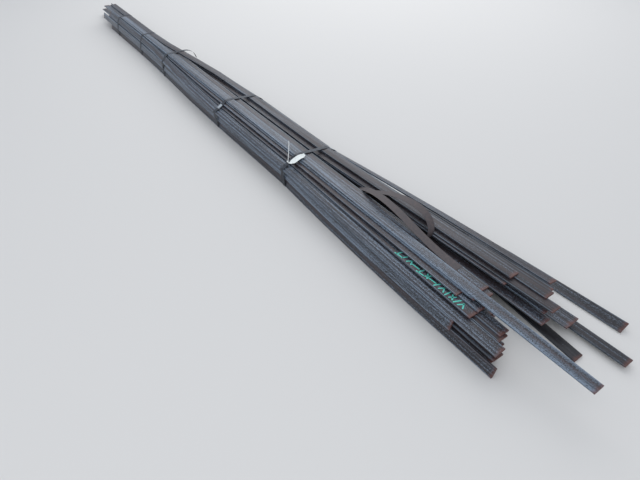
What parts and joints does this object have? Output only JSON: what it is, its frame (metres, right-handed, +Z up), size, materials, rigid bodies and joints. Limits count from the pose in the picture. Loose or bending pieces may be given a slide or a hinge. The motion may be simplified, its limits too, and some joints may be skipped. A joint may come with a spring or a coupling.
{
  "type": "strapped bundle of steel flat bars",
  "caption": "Long bundle of hot-rolled steel flat bars, tight and round at one end, loose and fanned at the other, held by steel straps with crimped seals.",
  "frame": {"origin": "on the floor, at the middle of the bundle's length and width", "axes": "+X along the bars towards the loose, fanned end; +Z up"},
  "size_m": [7.0934, 0.7932, 0.3341],
  "materials": {
    "mill_scale": "hot-rolled mill scale, blue-grey with brown streaks along the bar",
    "strap_steel": "dark blued steel strapping",
    "seal_steel": "plain galvanised seal, dulled",
    "band_steel": "plain steel band with a thin film of brown rust",
    "tag_card": "white coated card, blank",
    "tie_plastic": "white nylon"
  },
  "bodies": {
    "root": {"left_bars": "mill_scale", "middle_bars": "mill_scale", "right_bars": "mill_scale", "crown_left_bars": "mill_scale", "crown_right_bars": "mill_scale", "left_flank_bars": "mill_scale", "right_flank_bars": "mill_scale", "top_bars": "mill_scale", "strap_1": "strap_steel", "strap_2": "strap_steel", "strap_3": "strap_steel", "strap_4": "strap_steel", "strap_5": "strap_steel", "seal_1": "seal_steel", "seal_2": "seal_steel", "seal_3": "seal_steel", "seal_4": "seal_steel", "seal_5": "seal_steel", "strap_tail": "strap_steel", "loose_band": "band_steel", "tag": "tag_card", "tie": "tie_plastic"}
  },
  "joints": []
}
